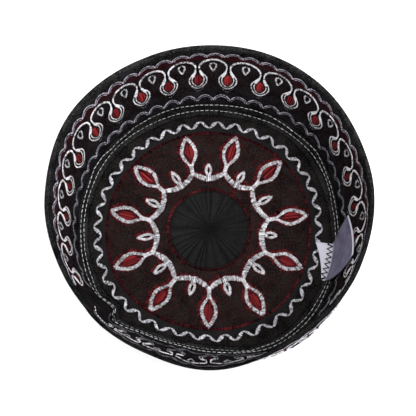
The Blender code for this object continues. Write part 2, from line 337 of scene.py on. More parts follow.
def waved(azimuth, z):
    """Radial move of the cloth's relief and small waves, none at the corner and the opening."""
    turn, level = np.radians(azimuth), np.clip(level_of(z), 0, 1)
    total = 0.0
    for wave in CLOTH_WAVES:
        total = total + wave.height * np.sin(wave.count * turn + wave.start + 2.4 * level)
    turn = np.mod(azimuth, 360)
    phase = 2 * np.pi * z / MM / CREASE_LENGTH + 0.10 * turn + 1.6 * np.sin(np.radians(turn * 9))
    total = total + slackness(azimuth) * CREASE_HEIGHT * np.sin(phase)
    return total * MM * np.sin(np.pi * level) + relief(azimuth, z)


def joined(*parts):
    """Coordinates of points, or corners of faces, put together from their parts."""
    return np.stack(np.broadcast_arrays(*parts), -1)


def around(radius, azimuth, z):
    turn = np.radians(azimuth)
    return joined(radius * np.sin(turn), radius * np.cos(turn), z)


def unit(vectors):
    return vectors / np.maximum(np.linalg.norm(vectors, axis=-1, keepdims=True), 1e-12)


def wall_radius(z):
    """Inner face of the wall before it is dented."""
    return CORNER_RADIUS + (OPENING_RADIUS - CORNER_RADIUS) * level_of(z)


def wall(azimuth, z, offset, move):
    """Points of the dented wall, an offset out from its inner face and moved further."""
    return around(wall_radius(z) + offset + dent(azimuth, z) + move, azimuth, z)


def tape_inside(azimuth, up):
    """Up runs up the wall from the corner, and below 0 it runs in over the crown."""
    share = np.clip((up + TAPE_BEND) / (2 * TAPE_BEND), 0, 1)
    bend = (share > 0) & (share < 1)
    proud = np.where(CROWN_TOP + up > TAPE_TOP, 0.0, TAPE_PROUD)
    radius = np.where(up < 0, CORNER_RADIUS + up, wall_radius(CROWN_TOP + up) - proud)
    radius = np.where(bend, CORNER_RADIUS - TAPE_BEND * (1 - share) ** 2, radius)
    z = CROWN_TOP + np.where(bend, TAPE_BEND * share ** 2, np.maximum(up, 0))
    return around(radius + dent(azimuth, z) + relief(azimuth, z), azimuth, z)


def crown_face(flat, height):
    """The crown's cloth at a height, with small waves."""
    x, y = flat[..., 0], flat[..., 1]
    azimuth, radius = np.arctan2(x, y), np.hypot(x, y)
    ripple = np.sin(7 * azimuth + 1.0) * 0.10 + np.sin(19 * azimuth + 2.0) * 0.05
    fade = np.sin(np.pi * np.clip((radius - ROSETTE_RADIUS) / CROWN_WAVES, 0, 1))
    return joined(x, y, height + MM * ripple * fade)


def face_points(face, flat):
    """Points of a face of the cloth at places on its pattern."""
    azimuth, z = flat[..., 0] / DEGREE, flat[..., 1]
    if face == "band_inside":
        return wall(azimuth, z, 0, waved(azimuth, z) + worn(azimuth, z))
    if face == "band_outside":
        return wall(azimuth, z, CLOTH, waved(azimuth, z))
    if face == "tape_inside":
        return tape_inside(azimuth, z)
    if face == "tape_outside":
        return wall(azimuth, z, CLOTH + TAPE_PROUD, relief(azimuth, z))
    return crown_face(flat, CROWN_TOP if face == "crown_above" else CROWN_LIFT)


def on_face(face, flat):
    """Points of a face, and the directions that it looks in."""
    side = 1 if face.endswith(("inside", "above")) else -1
    at = face_points(face, flat)
    across, along = [face_points(face, flat + step) - at for step in ((0.0002, 0), (0, 0.0002))]
    return at, unit(np.cross(across, along)) * side


# Meshes

def new_mesh(name, points, *faces):
    mesh = bpy.data.meshes.new(name)
    mesh.from_pydata(points.tolist(), [], [corners for part in faces for corners in part.tolist()])
    mesh.shade_smooth()
    return mesh


def grid_quads(count, wide, closed, closed_across=False):
    """Quads of a grid of points, which may close on itself in each direction."""
    i, j = np.meshgrid(np.arange(count - (not closed)), np.arange(wide - (not closed_across)), indexing="ij")
    after, beside = (i + 1) % count, (j + 1) % wide
    return joined(i * wide + j, i * wide + beside, after * wide + beside, after * wide + j).reshape(-1, 4)


def adjusted(thing, **settings):
    for key, value in settings.items():
        setattr(thing, key, value)
    return thing


def new_object(name, data, **settings):
    made = adjusted(bpy.data.objects.new(name, data), **settings)
    bpy.context.scene.collection.objects.link(made)
    return made


def new_piece(name, mesh, finish, slot, replaced=None):
    mesh.materials.append(finish)
    piece = new_object(name, mesh)
    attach(piece, "root")
    if replaced:
        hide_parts(replaced)
    return piece


def flat_map(mesh, places):
    """Store each corner's, or each point's, place on the flat pattern in metres."""
    if len(places) == len(mesh.vertices):
        corner = np.empty(len(mesh.loops), np.int32)
        mesh.loops.foreach_get("vertex_index", corner)
        places = places[corner]
    layer = mesh.uv_layers.new(name="flat")
    layer.data.foreach_set("uv", np.asarray(places, np.float32).ravel())


def shade_map(mesh, shades):
    attribute = mesh.attributes.new("shade", "FLOAT", "POINT")
    attribute.data.foreach_set("value", np.asarray(shades, np.float32))


def azimuths(count):
    return np.linspace(0, 360, count, endpoint=False)[:, None]


def flat_grid(azimuth, second):
    return joined(azimuth * DEGREE, second)


def ring_piece(name, parts, finish, slot, replaced, turn=360 * DEGREE):
    """A closed ring of cloth. Each part of its section is its points with their places on the pattern.

    Turn is how far the pattern moves on in one turn."""
    sections, flats = [np.concatenate(each, axis=1) for each in zip(*parts)]
    quads = grid_quads(*sections.shape[:2], True, True)[:, [0, 3, 2, 1]]
    mesh = new_mesh(name, sections.reshape(-1, 3), quads)
    right = np.vstack([flats[1:], flats[:1] + (turn, 0)])
    places = (flats, right, np.roll(right, -1, axis=1), np.roll(flats, -1, axis=1))
    flat_map(mesh, np.stack(places, 2).reshape(-1, 2))
    return new_piece(name, mesh, finish, slot, replaced)


# Lines on the flat pattern

def smooth_line(points, steps=10):
    points = np.asarray(points, float)
    ends = np.vstack([2 * points[0] - points[1], points, 2 * points[-1] - points[-2]])
    share = np.linspace(0, 1, steps, endpoint=False)[:, None]
    parts = []
    for a, b, c, d in zip(ends, ends[1:], ends[2:], ends[3:]):
        parts.append(0.5 * (2 * b + (c - a) * share + (2 * a - 5 * b + 4 * c - d) * share ** 2
                            + (3 * b - a - 3 * c + d) * share ** 3))
    return np.vstack(parts + [points[-1:]])


def mirrored(points):
    """A smooth line through the points and their mirror image about x = 0, joined at the first."""
    line = smooth_line(points)
    return np.vstack([line[:0:-1] * (-1, 1), line])


def spaced(line, pitch):
    """Points at equal steps along a line, their directions, and how far along they are."""
    line = np.asarray(line, float)
    reach = np.r_[0, np.cumsum(np.linalg.norm(np.diff(line, axis=0), axis=1))]
    count = max(int(round(reach[-1] / pitch)), 2)
    at = (np.arange(count) + 0.5) * reach[-1] / count

    def points(at):
        return joined(np.interp(at, reach, line[:, 0]), np.interp(at, reach, line[:, 1]))

    return points(at), unit(points(at + 0.3) - points(at - 0.3)), at / reach[-1]


def as_drawn(points):
    return points


def on_band(azimuth):
    return lambda points: points + (azimuth * DEGREE / MM, 0)


def polar(azimuth, radius):
    return around(radius, azimuth, 0.0)[..., :2]


def on_axis(inner, outer, low, high):
    """Place a motif, drawn with its outward side up, on a line between two points."""
    foot, tip = polar(inner, low), polar(outer, high)
    outward = (tip - foot) / (high - low)
    across = np.array((outward[1], -outward[0]))
    return lambda points: foot + points[:, :1] * across + (points[:, 1:] - low) * outward


def pulled(flat):
    """Crown embroidery moved in or out with its cloth."""
    azimuth = np.degrees(np.arctan2(flat[..., 0], flat[..., 1]))
    radius = np.linalg.norm(flat, axis=-1)
    shift = lookup(PULLS, "shift", azimuth, 360) * MM
    return flat * (1 + shift * (radius / (PULL_RADIUS * MM)) ** 3 / radius)[..., None]


def brighter_ends(middle, ends, power=1):
    """How bright a row is along it."""
    return lambda share: middle + (ends - middle) * np.abs(2 * share - 1) ** power


def along_row(value, share):
    return value(share) if callable(value) else value


# Threads

class Threads:
    """The threads of one colour on one face, in millimetres on the flat pattern.

    Grade scales their spacing and width. Whole rows are never laid in two halves."""

    def __init__(self, seed, grade=1.0, whole=False):
        self.random = np.random.default_rng(seed)
        self.pitch, self.thread, self.whole = PITCH * grade, THREAD * grade, whole
        self.rows = []

    def lay(self, starts, ends, width=None, height=THREAD_HEIGHT, bright=1.0):
        count = len(starts)
        shade = bright * np.clip(self.random.normal(1.0, 0.20, count), 0.45, 1.5)
        wide = (width or self.thread) * self.random.uniform(0.85, 1.15, count)
        self.rows.append(np.column_stack([starts, ends, wide, np.broadcast_to(height, count), shade]))

    def satin(self, line, width, place=as_drawn, bright=1.0, flecks=0.10, run=1, height=None, ragged=0.14,
              spread=0.14):
        """Threads side by side across a line. Flecks are the share of dark ones, which lie in runs."""
        points, along, share = spaced(line, self.pitch)
        count = len(points)
        wide = np.broadcast_to(along_row(width, share), count)
        knots = np.arange(0, count + 6, 5)
        slow = np.interp(np.arange(count), knots, self.random.normal(1.0, spread, len(knots)))
        across = joined(along[:, 1], -along[:, 0]) + along * SLANT
        uneven = self.random.uniform(1 - ragged, 1 + ragged, (2, count)) * wide / 2
        high = THREAD_HEIGHT + PADDING * np.minimum(wide, WIDEST_PADDED) if height is None else height
        halves = [(-uneven[0], uneven[1])]
        if wide.max() >= WIDE_SATIN and not self.whole:
            split = self.random.uniform(-0.25, 0.25, count) * wide
            halves = [(-uneven[0], split + LAP), (split - LAP, uneven[1])]
        for low, top in halves:
            runs = np.repeat(self.random.random(count // run + 1) < flecks, run)[:count]
            flecked = np.where(runs, self.random.uniform(0.1, 0.5, count), 1.0)
            self.lay(place(points + across * low[:, None]), place(points + across * top[:, None]),
                     height=high, bright=along_row(bright, share) * slow * flecked)

    def running(self, line, stitch, gap, place=as_drawn, width=None, height=THREAD_HEIGHT, bright=1.0,
                missing=0.0, wander=0.0):
        points, along, share = spaced(line, stitch + gap)
        level = np.broadcast_to(along_row(bright, share), len(points))
        points = points + self.random.normal(0, 1, points.shape) * wander
        turned = self.random.normal(0, 0.5 * wander, len(points))[:, None]
        along = unit(along + joined(along[:, 1], -along[:, 0]) * turned)
        kept = self.random.random(len(points)) >= missing
        half = along * stitch / 2
        self.lay(place(points - half)[kept], place(points + half)[kept], width, height, level[kept])

    def fill(self, low, high, half_width, place, bright=1.0, height=0.2):
        """Long threads side by side that fill a lens between two heights."""
        count = int(2 * half_width / self.pitch)
        across = (np.arange(count) + 0.5) / count * 2 - 1
        reach = (1 - np.abs(across) ** 2.6) * (high - low) / 2
        uneven = self.random.uniform(0.92, 1.0, (2, count))
        middle = (low + high) / 2
        starts, ends = [place(joined(across * half_width, middle + reach * uneven[k] * side))
                        for k, side in ((0, -1), (1, 1))]
        tone = self.random.choice([0.2, 0.7, 1.0, 1.15], count, p=[0.27, 0.18, 0.30, 0.25])
        self.lay(starts, ends, self.thread * 1.2, height, bright * tone)

    def piece(self, name, face, finish, slot, moved=as_drawn):
        """Join all the threads in one mesh, laid on a face of the cloth."""
        rows = np.vstack(self.rows)
        start, end = moved(rows[:, 0:2] * MM), moved(rows[:, 2:4] * MM)
        wide, high = rows[:, 4:6].T * MM
        foot, foot_up = on_face(face, start)
        head, head_up = on_face(face, end)
        up, along = unit(foot_up + head_up), head - foot
        side = unit(np.cross(along, up))
        sag = ((on_face(face, (start + end) / 2)[0] - (foot + head) / 2) * up).sum(1)
        points = [foot - foot_up * TUCK]
        for share in (0.16, 0.84):
            centre = foot + along * share + up * sag[:, None]
            for across, rise in ((-0.5, 0.3), (0.0, 1.0), (0.5, 0.3)):
                points.append(centre + side * (across * wide)[:, None] + up * (rise * high)[:, None])
        points.append(head - head_up * TUCK)
        first = (np.arange(len(rows)) * 8)[:, None]
        tips, quads = [], []
        for k in range(3):
            n = (k + 1) % 3
            tips += [first + (0, 1 + n, 1 + k), first + (7, 4 + k, 4 + n)]
            quads.append(first + (1 + k, 1 + n, 4 + n, 4 + k))
        mesh = new_mesh(name, np.stack(points, 1).reshape(-1, 3), *tips, *quads)
        shade_map(mesh, np.repeat(rows[:, 6], 8))
        return new_piece(name, mesh, finish, slot)


def thread_pieces(face, slot, moved=as_drawn, **colours):
    """One piece for each colour that is laid on a face."""
    return [threads.piece(f"{face}_{colour}_threads", face, THREADS[colour], slot, moved)
            for colour, threads in colours.items() if threads.rows]


# Materials

class Wire:
    """A socket of a material's nodes, so that sums on it read as plain expressions."""

    def __init__(self, finish, socket):
        self.finish, self.socket = finish, socket

    def sums(self, operation, *values):
        return self.finish.node("Math", dict(enumerate(values)), operation=operation)

    __add__ = __radd__ = lambda self, other: self.sums("ADD", self, other)
    __mul__ = __rmul__ = lambda self, other: self.sums("MULTIPLY", self, other)
    __sub__ = lambda self, other: self.sums("SUBTRACT", self, other)
    __rsub__ = lambda self, other: self.sums("SUBTRACT", other, self)
    __pow__ = lambda self, other: self.sums("POWER", self, other)

    def sine(self):
        return self.sums("SINE", self)

    def between(self, low, high):
        """0 below low, 1 above high, and eased in between."""
        limits = {"Value": self, "From Min": low, "From Max": high}
        return self.finish.node("MapRange", limits, interpolation_type="SMOOTHSTEP")

    def within(self, low, rise, fall, high):
        """1 from rise to fall, 0 outside low and high, and eased in between."""
        return self.between(low, rise) * (1 - self.between(fall, high))


class Finish:
    """A material with one Principled shader."""

    def __init__(self, name, roughness, specular):
        self.material = bpy.data.materials.new(name)
        self.material.use_nodes = True
        self.tree = self.material.node_tree
        self.shader = self.tree.nodes["Principled BSDF"]
        self.shader.inputs["Roughness"].default_value = roughness
        self.shader.inputs["Specular IOR Level"].default_value = specular

    def node(self, kind, values=None, output=0, **settings):
        """Any node with its settings, and the values or links of its sockets."""
        made = adjusted(self.tree.nodes.new("ShaderNode" + kind), **settings)
        for key, value in (values or {}).items():
            if isinstance(value, Wire):
                self.tree.links.new(value.socket, made.inputs[key])
            else:
                made.inputs[key].default_value = value
        return Wire(self, made.outputs[output])

    def mixed(self, share, first, second):
        first, second = [c if isinstance(c, Wire) else (*c, 1.0) for c in (first, second)]
        return self.node("Mix", {0: share, 6: first, 7: second}, 2, data_type="RGBA")

    def place(self):
        return self.node("TexCoord", output=3)

    def parts(self, vector):
        return [self.node("SeparateXYZ", {0: vector}, k) for k in range(3)]

    def flat(self):
        return self.parts(self.node("UVMap", uv_map="flat"))[:2]

    def shade(self):
        return self.node("Attribute", output=2, attribute_name="shade")

    def noise(self, size, detail):
        """Noise with spots of about this size, in metres."""
        return self.node("TexNoise", {"Vector": self.place(), "Scale": 1 / size, "Detail": detail})

    def colour(self, wire):
        self.tree.links.new(wire.socket, self.shader.inputs["Base Color"])

    def bump(self, height, distance, strength):
        made = self.node("Bump", {"Height": height, "Distance": distance, "Strength": strength})
        self.tree.links.new(made.socket, self.shader.inputs["Normal"])


def cloth(name, dark, light, tint, lint=0.0):
    """Woven cloth with a little lint. Tint is a function that colours it further."""
    finish = Finish(name, 0.9, 0.0)
    u, v = finish.flat()
    woven = (u * (np.pi / 0.00055)).sine() * (v * (np.pi / 0.00055)).sine()
    grain = finish.noise(0.0011, 4.0)
    patches = finish.noise(0.009, 3.0)
    share = (grain * 2.6 + patches * 1.4 + woven * 0.20 - 1.5).between(0.0, 1.0)
    colour = tint(finish, finish.mixed(share, dark, light))
    specks = finish.noise(0.0011, 0.0).between(0.72, 0.78)
    finish.colour(finish.mixed(specks * lint, colour, (0.10, 0.10, 0.11)))
    finish.bump(woven * 0.6 + grain * 2.2, 0.0003, 0.9)
    return finish.material


def pleat_shade(finish, colour):
    """Painted shade: darker in the folds, towards the middle and on the near right side."""
    folded = finish.mixed(finish.shade(), (0.0022, 0.0022, 0.0023), (0.0166, 0.0167, 0.0169))
    return finish.mixed(0.4, folded, colour)


def crown_red(finish, colour):
    """Maroon ground inside the red ring, and a plain grey strip outside it."""
    x, y = finish.parts(finish.place())[:2]
    radius = (x * x + y * y) ** 0.5
    inside = 1 - radius.between(0.0660, 0.0672)
    strip = radius.within(0.0665, 0.0675, 0.0700, 0.0725)
    spots = finish.noise(0.0016, 4.0).between(0.42, 0.66)
    patches = finish.noise(0.010, 1.0).between(0.35, 0.7)
    dots = finish.noise(0.0014, 1.0).between(0.62, 0.70)
    maroon = inside * (0.08 + spots * 0.35 + patches * 0.30)
    colour = finish.mixed(maroon, colour, (0.0170, 0.0062, 0.0058))
    colour = finish.mixed(inside * dots * 0.5, colour, (0.060, 0.0110, 0.0110))
    return finish.mixed(strip * 0.6, colour, (0.0145, 0.0140, 0.0150))


def hem_painted_shade(finish, colour):
    """Painted shade: the near part of the edge is darker."""
    near = (finish.parts(finish.place())[1] * -1).between(-0.060, 0.060)
    return finish.mixed(near * 0.62, colour, (0.0016, 0.0016, 0.0018))


def band_red(finish, colour):
    """Maroon ground behind the arches, strongest just under the outer scallops."""
    across, z = finish.flat()
    join = across.within(0.347, 0.351, 0.364, 0.368)
    # Painted shade: on the slack near wall most of the maroon is left out, so the ground there stays darker
    slack = across.within(0.225, 0.262, 0.310, 0.345)
    red = (1 - join) * (1 - slack * 0.75)
    motifs = z.within(0.030, 0.036, 0.0735, 0.0755) * red
    under = z.within(0.064, 0.068, 0.0715, 0.0745) * red
    spots = finish.noise(0.0016, 4.0).between(0.40, 0.68)
    colour = finish.mixed(motifs * spots * 0.45, colour, (0.022, 0.0055, 0.0050))
    return finish.mixed(under * (0.35 + spots * 0.5), colour, (0.040, 0.0050, 0.0085))


def thread(name, colour, roughness=0.5, specular=0.35):
    """Embroidery thread. Each laid thread has its own shade."""
    finish = Finish(name, roughness, specular)
    grain = finish.noise(0.0007, 2.0)
    level = finish.shade() * (1 + (grain - 0.5) * 0.4) * (1 / BRIGHTEST)
    finish.colour(finish.mixed(level, (0.002, 0.002, 0.003), tuple(c * BRIGHTEST for c in colour)))
    finish.bump(grain, 0.0002, 0.5)
    return finish.material


def ribbon(name):
    """Thin woven ribbon: white on its short flap and border, lilac on its leaf. The leaf stands in shade
    against the wall, so its lilac is darkened with painted shade, and the white border along its top edge
    is a painted highlight.
    """
    finish = Finish(name, 0.55, 0.3)
    across, up = finish.flat()
    leaf = (up + across * 0.01).between(0.052, 0.064) * (1 - up.between(0.965, 0.975))
    grain = finish.noise(0.0008, 3.0)
    mottled = (grain * 0.5 + finish.noise(0.008, 2.0) * 0.7).between(0.34, 0.84)
    white = finish.mixed(grain, (0.52, 0.51, 0.60), (0.66, 0.65, 0.72))
    lilac = finish.mixed(mottled, (0.098, 0.090, 0.165), (0.27, 0.25, 0.35))
    finish.colour(finish.mixed(leaf, white, lilac))
    lines = (across * (np.pi * 2 * 34)).sine() * (up * (np.pi * 2 * 60)).sine()
    finish.bump(lines * 0.5 + grain, 0.00012, 0.6)
    return finish.material


DARKEST, LIGHTEST = (0.0026, 0.0026, 0.0029), (0.0290, 0.0290, 0.0295)
PLAIN = cloth("plain_black_cloth", DARKEST, LIGHTEST, lambda finish, colour: colour, 0.15)
HEM = cloth("hem_cloth", DARKEST, LIGHTEST, hem_painted_shade, 0.15)
BAND_GROUND = cloth("band_ground_cloth", (0.0028, 0.0026, 0.0031), (0.0235, 0.0208, 0.0228), band_red)
CROWN_GROUND = cloth("crown_ground_cloth", (0.0028, 0.0026, 0.0027), (0.0200, 0.0172, 0.0168), crown_red)
ROSETTE = cloth("rosette_cloth", (0.0046, 0.0047, 0.0049), (0.0158, 0.0160, 0.0163), pleat_shade)
BLACK = thread("black_thread", (0.004, 0.004, 0.005), 0.9, 0.0)
TOPSTITCH = thread("topstitch_thread", (0.66, 0.66, 0.67))
THREADS = {
    "silver": thread("silver_thread", (0.565, 0.558, 0.585)),
    "border": thread("border_thread", (0.60, 0.592, 0.635)),
    "lilac": thread("lilac_grey_thread", (0.345, 0.330, 0.385), 0.6),
    "red": thread("red_thread", (0.295, 0.025, 0.028), 0.8, 0.03),
    "deep_red": thread("deep_red_thread", (0.072, 0.0095, 0.0110), 0.9, 0.0),
    "black": BLACK,
}
RIBBON = ribbon("label_ribbon_weave")


# Cloth pieces

def wall_piece(name, low, high, proud, rounded, rows, finish, slot, replaced):
    """A strip of the wall, from one height to another, that stands proud on both faces."""
    azimuth, z = azimuths(WALL_STEPS), np.linspace(low, high, rows)[None, :]
    edge = rounded * (1 - np.sin(np.pi / 2 * np.clip((high - z) / max(rounded, 1e-6), 0, 1)))
    move = waved(azimuth, z)
    inner = wall(azimuth, z, edge - proud, move + worn(azimuth, z))
    outer = wall(azimuth, z, CLOTH + proud - edge, move)
    flat = flat_grid(azimuth, z)
    return ring_piece(name, ((inner, flat), (outer[:, ::-1], flat[:, ::-1])), finish, slot, replaced)


def tape_cloth():
    """The sewn corner, from its lip on the crown, up the inside and down the outside."""
    azimuth = azimuths(WALL_STEPS)
    up = np.r_[np.linspace(-TAPE_LIP, -TAPE_BEND, 4), np.linspace(-TAPE_BEND, TAPE_BEND, 7)[1:],
               np.linspace(TAPE_BEND, TAPE_TOP - CROWN_TOP, 12)[1:]]
    inside = flat_grid(azimuth, up[None, :])
    outside = flat_grid(azimuth, np.linspace(TAPE_TOP, TAPE_FOOT_ROUND, 10)[None, :])
    turn = np.radians([[30, 60, 90]])
    edge = CORNER_RADIUS + CLOTH + TAPE_PROUD + dent(azimuth, 0 * turn)
    foot = around(edge - TAPE_FOOT_ROUND * (1 - np.cos(turn)), azimuth, TAPE_FOOT_ROUND * (1 - np.sin(turn)))
    lip = CORNER_RADIUS - TAPE_LIP + dent(azimuth, 0.0)
    under = around(lip, azimuth, np.array([[0.0, CROWN_TOP / 2]]))
    parts = ((face_points("tape_inside", inside), inside), (face_points("tape_outside", outside), outside),
             (foot, flat_grid(azimuth, -0.001 * turn)), (under, flat_grid(azimuth, [[-0.005, -0.004]])))
    return ring_piece("corner_tape", parts, PLAIN, "plain_cloth", "seam_tape")


def crown_cloth():
    azimuth = azimuths(CROWN_STEPS)
    hole, edge = ROSETTE_RADIUS + CROWN_GAP, CORNER_RADIUS - TAPE_LIP - CROWN_GAP
    nominal = np.linspace(hole, edge, 24)[None, :]
    ring = polar(azimuth, nominal + (nominal / edge) ** 3 * dent(azimuth, 0.0))
    above, below = crown_face(ring, CROWN_TOP), crown_face(ring, CROWN_LIFT)
    parts = ((above, ring), (below[:, ::-1], ring[:, ::-1]))
    return ring_piece("crown_cloth", parts, CROWN_GROUND, "crown_cloth", "crown", 0.0)


def rosette_cloth():
    """Gathered disc with folds that run to a dimple."""
    rows, knots = 20, 25
    azimuth, share = azimuths(CROWN_STEPS), np.linspace(0, 1, rows + 1)[None, 1:]
    turn = np.radians(azimuth)
    phase = 1.3 * np.sin(turn * 3 + 1) + 0.8 * np.sin(turn * 7 + 2) + 0.5 * np.sin(turn * 11) + 0.5 * share
    strength = np.random.default_rng(5).uniform(0.15, 1.2, knots)
    fold = np.abs(np.sin(turn * ROSETTE_FOLDS / 2 + phase)) - 0.6
    fold = fold * np.interp(azimuth, np.linspace(0, 360, knots), strength)
    depth = MM * fold * np.sin(np.pi * share) ** 0.7 * (0.35 + 0.65 * share)
    rise = ROSETTE_RISE * np.sin(np.pi * share) - DIMPLE_DEPTH * np.exp(-(share / DIMPLE_REACH) ** 2)
    above = around(ROSETTE_RADIUS * share, azimuth, CROWN_TOP + rise + depth)
    below = around(ROSETTE_RADIUS * share, azimuth, CROWN_LIFT + 0.6 * (rise + depth))
    middles = [(0, 0, above[:, 0, 2].mean() - 0.3 * MM), (0, 0, below[:, 0, 2].mean() - 0.1 * MM)]
    points = np.vstack([above.reshape(-1, 3), below.reshape(-1, 3), middles])
    quads, lower = grid_quads(CROWN_STEPS, rows, True), CROWN_STEPS * rows
    first = np.arange(CROWN_STEPS) * rows
    after = np.roll(first, -1)
    rim, rim_after = first + rows - 1, after + rows - 1
    edge = joined(rim, lower + rim, lower + rim_after, rim_after)
    tips = np.vstack([joined(2 * lower, first, after), joined(2 * lower + 1, lower + after, lower + first)])
    mesh = new_mesh("rosette_cloth", points, quads, (lower + quads)[:, ::-1], edge, tips)
    flat_map(mesh, points[:, :2])
    # Painted light and shade held at each point: darker in the folds and towards the middle, lighter towards
    # azimuth 290 and darker opposite
    lit = np.clip(0.64 + 1.1 * fold, 0, 1) * np.clip(0.10 + 1.8 * share, 0, 1)
    lit = lit * (0.84 + 0.24 * np.cos(turn - np.radians(290)))
    shade_map(mesh, np.r_[lit.ravel(), lit.ravel(), 0, 0])
    return new_piece("gathered_rosette", mesh, ROSETTE, "rosette_cloth", "crown_rosette")


def between(pair, share):
    return pair[0] + (pair[1] - pair[0]) * share


def label_middle(across, up):
    """Middle of the label. Up is below 0 on the flap, and 0 to 1 on the standing leaf."""
    azimuth = between(LABEL_AZIMUTHS, across)
    foot = CORNER_RADIUS + dent(azimuth, 0.0) - TAPE_BEND - LABEL_CLEAR
    flap = around(foot + between(LABEL_FLAPS, across) * up, azimuth, LABEL_FLAP_Z)
    rise = np.maximum(up, 0)
    azimuth = azimuth - LABEL_LEAN * rise ** between(LABEL_CURVES, across)
    z = LABEL_FLAP_Z + LABEL_STEP + between(LABEL_HEIGHTS, across) * rise
    off = LABEL_CLEAR + TAPE_BEND * (1 - rise) ** LABEL_FOLD + LABEL_BELLY * np.sin(np.pi * rise)
    return np.where((up < 0)[..., None], flap, wall(azimuth, z, -TAPE_PROUD, -off))


def label_cloth():
    up = np.r_[np.linspace(-1, 0, 9)[:-1], np.linspace(0, 1, 33) ** 1.2]
    across, up = np.broadcast_arrays(np.linspace(0, 1, 25)[:, None], up[None, :])
    middle = label_middle(across, up)
    facing = unit(np.cross(np.gradient(middle, axis=1), np.gradient(middle, axis=0))) * LABEL_THICKNESS / 2
    points = np.vstack([(middle + facing).reshape(-1, 3), (middle - facing).reshape(-1, 3)])
    wide, tall = across.shape
    quads, lower = grid_quads(wide, tall, False), wide * tall
    rows, columns = np.arange(wide) * tall, np.arange(tall)
    rim = np.r_[rows[:-1], rows[-1] + columns[:-1], rows[:0:-1] + tall - 1, columns[:0:-1]]
    after = np.roll(rim, -1)
    edge = joined(rim, after, after + lower, rim + lower)
    mesh = new_mesh("label_ribbon", points, quads, (quads + lower)[:, ::-1], edge)
    flat_map(mesh, np.tile(joined(across, up).reshape(-1, 2), (2, 1)))
    return new_piece("label_ribbon", mesh, RIBBON, "label_cloth", "label")


# Embroidery of the band

def arch_line(azimuth, after):
    """From one bulb's neck, over the arch, to the neck of the next."""
    scale = DEGREE / MM
    half = (after - azimuth) * scale / 2
    up = np.array(ARCH) * (half, 1)
    down = up[-2::-1] * (-1, 1) + (2 * half, 0)
    line = smooth_line(np.vstack([up, down]), 8) + (azimuth * scale, 0)
    return line[(line[:, 0] > BAND_START * scale) & (line[:, 0] < BAND_END * scale)]


def arch_width(share):
    return 1.0 + 0.65 * np.sin(np.pi * share) ** 1.2


def scallop_rows(threads, scallops, tones, key, seed):
    """Two rows of stitches over each scallop."""
    random = np.random.default_rng(seed)
    pitch = (scallops.end - scallops.start) / scallops.count * DEGREE / MM
    tall = scallops.crest - scallops.cusp
    x = np.linspace(-0.5, 0.5, 25)
    arch = np.cos(np.pi * x) ** 0.62
    for number in range(scallops.count):
        centre = scallops.start * DEGREE / MM + (number + 0.5) * pitch + random.normal(0, 0.15)
        low = scallops.cusp + random.uniform(-0.35, 0.35)
        azimuth = centre / DEGREE * MM
        shade = lookup(tones, key, azimuth)
        slack = tones is INSIDE_LIGHT_AND_SHADE and azimuth > SLACK_START
        gaps, run = (0.5, 4) if slack else (0.25, 2)
        outer = joined(centre + x * pitch, low + tall * arch)
        inner = joined(centre + x * (pitch - 2.4), low - 0.2 + (tall - scallops.second) * arch)
        threads.satin(outer, 0.80, height=0.35, bright=shade, ragged=0.3, flecks=gaps, spread=0.35, run=run)
        threads.satin(inner, 0.55, height=0.25, bright=0.7 * shade, ragged=0.25, flecks=gaps + 0.1, run=run)


